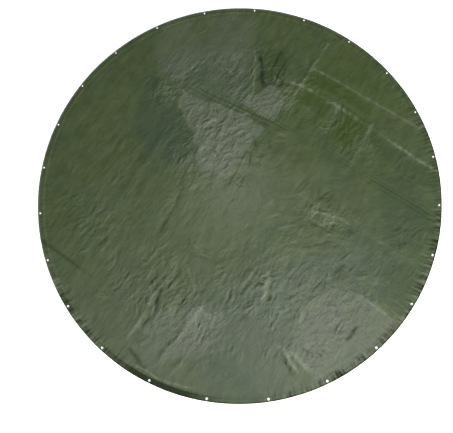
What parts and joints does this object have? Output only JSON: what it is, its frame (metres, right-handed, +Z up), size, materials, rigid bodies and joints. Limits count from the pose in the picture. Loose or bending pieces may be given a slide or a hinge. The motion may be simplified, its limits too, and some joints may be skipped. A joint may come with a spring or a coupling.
{
  "type": "spa cover",
  "caption": "Round flat cover of laminated woven polyethylene for a spa or splash pool, with a roped hem and metal eyelets for tie-downs; its two sides fold inward.",
  "frame": {"origin": "middle of the underside, at the height it rests on", "axes": "+Z up, away from the ground; +Y towards the far side; +X to the right seen from above. The seams run 33 degrees below +X."},
  "size_m": [3.6, 3.6, 0.0054],
  "materials": {
    "woven_sheet": "semi-gloss laminated woven polyethylene, dark olive green, creased",
    "welded_seam": "pressed, slightly smoother band of the same sheet",
    "hem_rope": "matt twisted polypropylene",
    "eyelet_aluminium": "bright, lightly worn"
  },
  "bodies": {
    "centre": {"centre_panel": "woven_sheet", "far_seam_lap": "welded_seam", "near_seam_lap": "welded_seam", "hem_rope_left": "hem_rope", "hem_rope_right": "hem_rope", "eyelet_10": "eyelet_aluminium", "washer_10": "eyelet_aluminium", "eyelet_11": "eyelet_aluminium", "washer_11": "eyelet_aluminium", "eyelet_12": "eyelet_aluminium", "washer_12": "eyelet_aluminium", "eyelet_13": "eyelet_aluminium", "washer_13": "eyelet_aluminium", "eyelet_14": "eyelet_aluminium", "washer_14": "eyelet_aluminium", "eyelet_20": "eyelet_aluminium", "washer_20": "eyelet_aluminium", "eyelet_21": "eyelet_aluminium", "washer_21": "eyelet_aluminium", "eyelet_22": "eyelet_aluminium", "washer_22": "eyelet_aluminium", "eyelet_23": "eyelet_aluminium", "washer_23": "eyelet_aluminium", "eyelet_24": "eyelet_aluminium", "washer_24": "eyelet_aluminium"},
    "far_flap": {"far_panel": "woven_sheet", "hem_rope_far": "hem_rope", "eyelet_01": "eyelet_aluminium", "washer_01": "eyelet_aluminium", "eyelet_02": "eyelet_aluminium", "washer_02": "eyelet_aluminium", "eyelet_03": "eyelet_aluminium", "washer_03": "eyelet_aluminium", "eyelet_04": "eyelet_aluminium", "washer_04": "eyelet_aluminium", "eyelet_05": "eyelet_aluminium", "washer_05": "eyelet_aluminium", "eyelet_06": "eyelet_aluminium", "washer_06": "eyelet_aluminium", "eyelet_07": "eyelet_aluminium", "washer_07": "eyelet_aluminium", "eyelet_08": "eyelet_aluminium", "washer_08": "eyelet_aluminium", "eyelet_09": "eyelet_aluminium", "washer_09": "eyelet_aluminium"},
    "near_flap": {"near_panel": "woven_sheet", "hem_rope_near": "hem_rope", "eyelet_15": "eyelet_aluminium", "washer_15": "eyelet_aluminium", "eyelet_16": "eyelet_aluminium", "washer_16": "eyelet_aluminium", "eyelet_17": "eyelet_aluminium", "washer_17": "eyelet_aluminium", "eyelet_18": "eyelet_aluminium", "washer_18": "eyelet_aluminium", "eyelet_19": "eyelet_aluminium", "washer_19": "eyelet_aluminium"}
  },
  "joints": [
    {"name": "far_fold", "type": "hinge", "parent": "centre", "child": "far_flap", "pos_m": [0.39214, 0.60384, 0.01], "axis": [0.8387, -0.5446, 0], "range_deg": [0, 180]},
    {"name": "near_fold", "type": "hinge", "parent": "centre", "child": "near_flap", "pos_m": [-0.7625, -1.17414, 0.01], "axis": [-0.8387, 0.5446, 0], "range_deg": [0, 180]}
  ]
}
